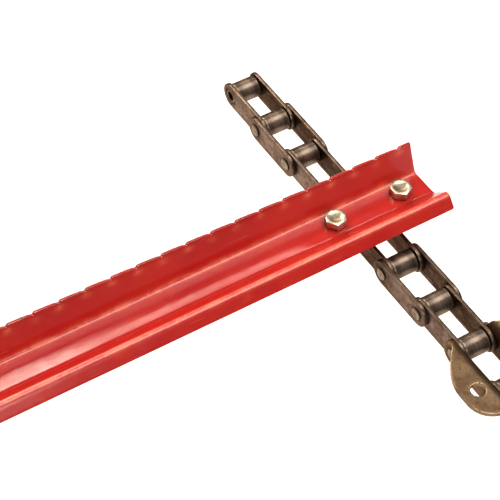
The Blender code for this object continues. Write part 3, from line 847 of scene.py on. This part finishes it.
def slat_lift(path, bolt_axes):
    """How far the web rolls up before its near bend, except where the bolts clamp it flat."""
    bend, slope = path.stretches[3:5]
    begun = path.bend_middle(1) - bend["length"] / 2 - 1.2 * MM
    ended = path.bend_middle(1) + bend["length"] / 2 + slope["length"]
    run = 10.0 * MM
    rise = 0.75 * MM
    clamped = 12.0 * MM
    fade = 45.0 * MM

    def rolled(along):
        """Grows along the web up to the bend, and fades out again up the slope."""
        if along <= begun:
            return rise * max(0.0, 1.0 - (begun - along) / run) ** 2
        share = min(1.0, (along - begun) / (ended - begun))
        return rise * (1.0 - share) ** 2 * (1.0 + 2.0 * share * (1.0 + (ended - begun) / run))

    def free(x):
        """0 where the bolts clamp the web flat, 1 well away from them."""
        nearest = min(abs(x - bolt_x) for bolt_x, bolt_line in bolt_axes)
        share = min(1.0, max(0.0, (nearest - clamped) / fade))
        return share * share * (3.0 - 2.0 * share)

    return lambda x, along: rolled(along) * free(x)


def pushed_in(x, along, notches):
    """Shallow dents where the notches were punched, and a faint waviness of the whole sheet."""
    notch = min(abs(x - middle) for middle in notches)
    dent = 0.30 * MM * bell(notch, 2.6 * MM) * bell(along - 3.6 * MM, 2.4 * MM)
    wave = 0.10 * MM * noise.noise(Vector((x * 25.0, along * 60.0, 0.0)))
    return (dent if along < DENT_END else 0.0) + wave * min(1.0, along / (8.0 * MM))


def make_slat(material):
    """One sheet, cut flat with its teeth and holes, then bent along three lines."""
    path = slat_path()
    length = slat_high.x - slat_low.x
    edge, notches = toothed_edge(length)
    corner = 1.5 * MM
    outline = list(edge)
    outline += arc(length / 2 - corner, path.length - corner, corner, 4, 0.0, math.pi / 2)
    outline += arc(-length / 2 + corner, path.length - corner, corner, 4, math.pi / 2, math.pi / 2)
    bolt_axes = slat_bolt_axes(path)
    holes = [arc(*axis, HOLE_RADIUS, HOLE_STEPS) for axis in bolt_axes]
    cuts_x = [-length / 2 + length * step / SLAT_COLUMNS for step in range(1, SLAT_COLUMNS)]
    cuts_along = [2.6 * MM, 3.8 * MM, 5.4 * MM]
    cuts_along += [cut for cut in path.cuts(1.6 * MM, 10) if cut > 6.0 * MM]
    work = blank(outline, holes, SHEET, 0.4 * MM, cuts_x, cuts_along)
    near_edge = nearness([outline, *holes], 2.2 * MM)
    write_layers(work, wear=near_edge, rub=slat_rub(path, notches), grime=slat_painted_shade(path, bolt_axes))
    lift = slat_lift(path, bolt_axes)
    for vert in work.verts:
        x, along, depth = vert.co
        point, heading = path.at(along)
        into_sheet = Vector((-heading.y, heading.x)).normalized()
        point = point + into_sheet * (depth + pushed_in(x, along, notches))
        vert.co = (x, point.x, point.y + lift(x, along))
    shift = Vector(((slat_low.x + slat_high.x) / 2, SLAT_PIN.y, SLAT_PIN.z))
    moved(work, Matrix.Translation(shift))
    return add_piece("slat_fine", work, material, "slat_link", "slat", "slat")


# ---------------------------------------------------------------- bolts, nuts and washers
HEX_STEPS = 96
CHAMFER_SLOPE = 0.5
THREAD_RINGS = 6  # a turn of thread


def hex_radius(angle):
    """Distance from the axis to a hexagon's side, with its corners a little softened."""
    within = (angle + math.pi / 6) % (math.pi / 3) - math.pi / 6
    sharp = HEX_APOTHEM / math.cos(within)
    return min(sharp, HEX_APOTHEM / math.cos(math.pi / 6) * 0.985)


def polar(rings):
    """A closed shape about Z. Each ring is (radius function, height function, wear, grime and painted
    shade).
    """
    work = bmesh.new()
    wear = work.verts.layers.float.new("wear")
    grime = work.verts.layers.float.new("grime")
    loops = []
    for radius, height, worn, grimy_shaded in rings:
        loop = []
        for step in range(HEX_STEPS):
            angle = math.tau * step / HEX_STEPS
            out = radius(angle)
            vert = work.verts.new((out * math.cos(angle), out * math.sin(angle), height(angle)))
            vert[wear] = worn
            vert[grime] = grimy_shaded
            loop.append(vert)
        loops.append(loop)
    for first, second in zip(loops, loops[1:]):
        for step in range(HEX_STEPS):
            other = (step + 1) % HEX_STEPS
            work.faces.new((first[step], first[other], second[other], second[step]))
    return work, loops


def constant(value):
    return lambda angle: value


def hex_wall(height, crown_radius):
    """Height of the chamfered top edge of a hexagon, lowest at its corners."""
    return lambda angle: height - max(0.0, hex_radius(angle) - crown_radius) * CHAMFER_SLOPE


def make_bolt(side, material):
    """A hex bolt with a dished head, and a threaded end under the nut."""
    crown = HEX_APOTHEM * 0.93
    top = hex_wall(HEAD_HEIGHT, crown)
    dish = 0.75 * MM
    # The fourth value of each ring darkens the dished centre and the underside of the head with grime and
    # painted shade.
    rings = [
        (constant(0.8 * MM), constant(HEAD_HEIGHT - dish), 0.0, 0.60),
        (constant(HEX_APOTHEM * 0.45), constant(HEAD_HEIGHT - dish), 0.0, 0.60),
        (constant(HEX_APOTHEM * 0.62), constant(HEAD_HEIGHT - dish * 0.55), 0.1, 0.45),
        (constant(HEX_APOTHEM * 0.76), constant(HEAD_HEIGHT - dish * 0.08), 0.8, 0.0),
        (constant(HEX_APOTHEM * 0.84), constant(HEAD_HEIGHT), 1.0, 0.0),
        (constant(crown), constant(HEAD_HEIGHT), 0.9, 0.0),
        (lambda a: hex_radius(a) * 0.985, lambda a: top(a) + 0.05 * MM, 0.8, 0.0),
        (hex_radius, lambda a: top(a) - 0.25 * MM, 0.5, 0.0),
        (hex_radius, constant(1.2 * MM), 0.0, 0.15),
        (hex_radius, constant(0.30 * MM), 0.2, 0.6),
        (lambda a: hex_radius(a) * 0.975, constant(0.05 * MM), 0.1, 0.9),
        (constant(BOLT_RADIUS + 0.2 * MM), constant(0.0), 0.0, 1.0),
        (constant(BOLT_RADIUS * 0.99), constant(-0.4 * MM), 0.0, 1.0),
    ]
    bolt_length = node_size(f"bolt_{side}").z - HEAD_HEIGHT
    thread_start = 6.0 * MM
    rings.append((constant(BOLT_RADIUS * 0.99), constant(-thread_start), 0.0, 0.6))
    for step in range(int((bolt_length - thread_start) / THREAD_PITCH * THREAD_RINGS)):
        along = -thread_start - step * THREAD_PITCH / THREAD_RINGS

        def thread(angle, along=along, step=step):
            phase = (along / THREAD_PITCH + angle / math.tau) % 1.0
            depth = THREAD_DEPTH * (1.0 - abs(2.0 * phase - 1.0))
            return BOLT_RADIUS * 0.995 - depth * min(1.0, step / THREAD_RINGS)

        rings.append((thread, constant(along), 0.2, 0.35))
    rings.append((constant(BOLT_RADIUS * 0.80), constant(-bolt_length + 0.3 * MM), 0.6, 0.1))
    rings.append((constant(BOLT_RADIUS * 0.74), constant(-bolt_length), 0.5, 0.1))
    work, loops = polar(rings)
    work.faces.new(loops[0])
    work.faces.new(loops[-1])
    low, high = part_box(f"bolt_{side}")
    place = Vector(((low.x + high.x) / 2, SLAT_PIN.y, high.z - HEAD_HEIGHT))
    turn = Matrix.Rotation(math.radians(HEAD_TURNS[side]), 4, "Z")
    moved(work, Matrix.Translation(place) @ turn)
    return add_piece(f"bolt_{side}_fine", work, material, "slat_link", "bolt", f"bolt_{side}")


def make_nut(side, material):
    """A hex nut, chamfered above and below, with a countersunk bore."""
    crown = HEX_APOTHEM * 0.95
    bore = BOLT_RADIUS + GAP
    sink = 0.7 * MM
    high_edge = hex_wall(NUT_HEIGHT, crown)
    rings = [
        (constant(bore), constant(sink), 0.1, 0.8),
        (constant(bore + sink), constant(0.0), 0.6, 0.3),
        (constant(crown), constant(0.0), 0.8, 0.1),
        (hex_radius, lambda a: NUT_HEIGHT - high_edge(a), 0.8, 0.0),
        (hex_radius, constant(NUT_HEIGHT / 2), 0.0, 0.2),
        (hex_radius, high_edge, 0.8, 0.0),
        (constant(crown), constant(NUT_HEIGHT), 0.6, 0.4),
        (constant(bore + sink), constant(NUT_HEIGHT), 0.3, 0.8),
        (constant(bore), constant(NUT_HEIGHT - sink), 0.1, 0.8),
    ]
    work, loops = polar(rings)
    for step in range(HEX_STEPS):
        other = (step + 1) % HEX_STEPS
        work.faces.new((loops[-1][step], loops[-1][other], loops[0][other], loops[0][step]))
    low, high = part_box(f"nut_{side}")
    place = Vector(((low.x + high.x) / 2, SLAT_PIN.y, low.z))
    turn = Matrix.Rotation(math.radians(HEAD_TURNS[side] + NUT_TURN), 4, "Z")
    moved(work, Matrix.Translation(place) @ turn)
    return add_piece(f"nut_{side}_fine", work, material, "slat_link", "nut", f"nut_{side}")


def make_lock_washer(side, material):
    """A split spring washer: a squared section swept round, with its two ends a hair apart in height."""
    work = bmesh.new()
    wear = work.verts.layers.float.new("wear")
    grime = work.verts.layers.float.new("grime")
    bore = BOLT_RADIUS + GAP
    ease = 0.25 * MM
    half = WASHER_THICKNESS / 2 - 0.12 * MM
    section = [
        (bore + ease, -half), (WASHER_RADIUS - ease, -half), (WASHER_RADIUS, -half + ease),
        (WASHER_RADIUS, half - ease), (WASHER_RADIUS - ease, half), (bore + ease, half),
        (bore, half - ease), (bore, -half + ease),
    ]
    gap = math.radians(12)
    lean = 0.12 / bore
    end_step = 0.20 * MM
    steps = 64
    start = -math.pi / 2 + gap / 2
    loops = []
    for step in range(steps + 1):
        share = step / steps
        angle = start + (math.tau - gap) * share
        loop = []
        for radius, height in section:
            around = angle + height * lean
            lifted = height + end_step * (share - 0.5)
            vert = work.verts.new((radius * math.cos(around), radius * math.sin(around), lifted))
            vert[wear] = 0.5 if radius > bore + 1.0 * MM else 0.1
            vert[grime] = 0.4
            loop.append(vert)
        loops.append(loop)
    for first, second in zip(loops, loops[1:]):
        for index in range(len(section)):
            other = (index + 1) % len(section)
            work.faces.new((first[index], first[other], second[other], second[index]))
    work.faces.new(loops[0])
    work.faces.new(loops[-1])
    low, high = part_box(f"lockwasher_{side}")
    moved(work, Matrix.Translation(((low.x + high.x) / 2, SLAT_PIN.y, (low.z + high.z) / 2)))
    return add_piece(f"lockwasher_{side}_fine", work, material, "slat_link", "washer", f"lockwasher_{side}")


# ---------------------------------------------------------------- build everything
plate_steel = chain_steel(
    "plate_steel", (0.132, 0.086, 0.064), (0.260, 0.186, 0.150), (0.036, 0.021, 0.013), (0.310, 0.222, 0.155)
)
wing_steel = chain_steel(
    "wing_steel", (0.125, 0.074, 0.038), (0.200, 0.128, 0.070), (0.042, 0.025, 0.014), (0.290, 0.205, 0.125)
)
pin_steel = chain_steel(
    "pin_steel", (0.130, 0.098, 0.068), (0.230, 0.180, 0.130), (0.045, 0.031, 0.020), (0.420, 0.350, 0.270)
)
roller_finish = roller_steel()
enamel = red_paint()
zinc = yellow_zinc()

for number in range(1, 6):
    far = 2 * (number - 1)
    inner_body = f"inner_{number}"
    for side_name, side in (("left", -1), ("right", 1)):
        side_plate(
            f"{inner_body}_plate_{side_name}", side, INNER_FACE, BUSHING_RADIUS + GAP,
            PINS[far], plate_steel, inner_body, "inner_plate",
        )
    for place_name, index in (("far", far), ("near", far + 1)):
        bushing(f"{inner_body}_bushing_{place_name}", PINS[index], inner_body, pin_steel)
        roller(f"{inner_body}_roller_{place_name}", PINS[index], f"roller_{index}", roller_finish)

for number, far in ((1, 1), (2, 5)):
    outer_body = f"outer_{number}"
    for side_name, side in (("left", -1), ("right", 1)):
        side_plate(
            f"{outer_body}_plate_{side_name}", side, OUTER_FACE, PIN_RADIUS + GAP,
            PINS[far], plate_steel, outer_body, "outer_plate",
        )
    for place_name, index in (("far", far), ("near", far + 1)):
        pin(f"{outer_body}_pin_{place_name}", PINS[index], outer_body, pin_steel)

for number, far, wing_body in ((1, 3, "slat_link"), (2, 7, "attachment_2")):
    for side_name, side in (("left", -1), ("right", 1)):
        attachment_plate(f"attachment_{number}_plate_{side_name}", side, PINS[far], wing_steel, wing_body)
    for place_name, index in (("far", far), ("near", far + 1)):
        pin(f"attachment_{number}_pin_{place_name}", PINS[index], wing_body, pin_steel)

make_slat(enamel)
for bolt_side in ("left", "right"):
    make_bolt(bolt_side, zinc)
    make_nut(bolt_side, zinc)
    make_lock_washer(bolt_side, zinc)


# ---------------------------------------------------------------- floor, lights and camera
FLOOR_DROP = 0.30  # metres below the part
FLOOR_SIZE = 6.0


def make_floor():
    """A wide pale floor, low enough for the chain to curl under the slat without meeting it."""
    mesh = bpy.data.meshes.new("floor")
    work = bmesh.new()
    bmesh.ops.create_grid(work, x_segments=1, y_segments=1, size=FLOOR_SIZE)
    bmesh.ops.translate(work, verts=work.verts, vec=(0.0, 0.0, cad_low.z - FLOOR_DROP))
    work.to_mesh(mesh)
    work.free()
    look = Shader("pale_floor")
    tone = look.mix(look.noise(3.0, 3.0), (0.91, 0.91, 0.905), (0.94, 0.94, 0.935))
    relief = look.bump(look.noise(80.0), 0.0002, 0.2)
    mesh.materials.append(look.finish(tone, 0.9, 0.0, relief, Emission_Strength=0.20))
    floor = bpy.data.objects.new("floor", mesh)
    bpy.context.scene.collection.objects.link(floor)


def area_light(name, place, aim, size, power, colour):
    """A soft rectangular light whose width runs along X. Place and aim are from the slat's pin."""
    place = SLAT_PIN + Vector(place)
    aim = SLAT_PIN + Vector(aim)
    light = bpy.data.lights.new(name, "AREA")
    light.shape = "RECTANGLE"
    light.size, light.size_y = size
    light.energy = power
    light.color = colour
    lamp = bpy.data.objects.new(name, light)
    bpy.context.scene.collection.objects.link(lamp)
    back = (place - aim).normalized()
    upright = back.cross(Vector((1.0, 0.0, 0.0))).normalized()
    across = upright.cross(back)
    turn = Matrix((across, upright, back)).transposed().to_4x4()
    lamp.matrix_world = Matrix.Translation(place) @ turn


def make_lights():
    centre = (-0.10, 0.0, 0.0)
    slat_middle = (-0.14, 0.0, 0.0)
    warm_white = (1.0, 0.87, 0.75)
    soft_white = (1.0, 0.95, 0.90)
    area_light("back_softbox", (-0.36, 1.24, 1.06), centre, (1.10, 0.66), 26.0, warm_white)
    area_light("back_strip", (0.34, 1.16, 1.06), slat_middle, (0.80, 0.16), 3.4, warm_white)
    area_light("top_softbox", (0.42, -0.10, 1.70), centre, (1.30, 1.15), 28.5, soft_white)
    area_light("front_fill", (-0.30, -1.70, 1.10), centre, (0.80, 0.60), 12.0, soft_white)
    world = bpy.data.worlds.new("studio")
    world.use_nodes = True
    background = world.node_tree.nodes["Background"]
    background.inputs["Color"].default_value = (1.0, 1.0, 1.0, 1.0)
    background.inputs["Strength"].default_value = 0.15
    bpy.context.scene.world = world


# The camera, solved from the part's own places as they show in the photograph.
CAMERA_AZIMUTH = math.radians(30.78)
CAMERA_ELEVATION = math.radians(48.31)
CAMERA_ROLL = math.radians(-0.73)
CAMERA_DISTANCE = 1.1943
CAMERA_AIM = Vector((-0.08105, 0.02498, 0.0))  # from the pin axis under the slat's bolts
CAMERA_LENS = 123.7


def make_camera():
    data = bpy.data.cameras.new("camera")
    data.sensor_width = 36.0
    data.lens = CAMERA_LENS
    data.clip_start = 0.05
    data.clip_end = 20.0
    camera = bpy.data.objects.new("camera", data)
    bpy.context.scene.collection.objects.link(camera)
    flat = math.cos(CAMERA_ELEVATION)
    back = Vector((
        -math.sin(CAMERA_AZIMUTH) * flat,
        -math.cos(CAMERA_AZIMUTH) * flat,
        math.sin(CAMERA_ELEVATION),
    ))
    level = Vector((0.0, 0.0, 1.0)).cross(back).normalized()
    upright = back.cross(level)
    right = level * math.cos(CAMERA_ROLL) + upright * math.sin(CAMERA_ROLL)
    above = back.cross(right)
    turn = Matrix((right, above, back)).transposed().to_4x4()
    camera.matrix_world = Matrix.Translation(SLAT_PIN + CAMERA_AIM + back * CAMERA_DISTANCE) @ turn
    bpy.context.scene.camera = camera


make_floor()
make_lights()
make_camera()
bpy.context.scene.view_settings.view_transform = "Standard"
bpy.context.scene.view_settings.look = "None"
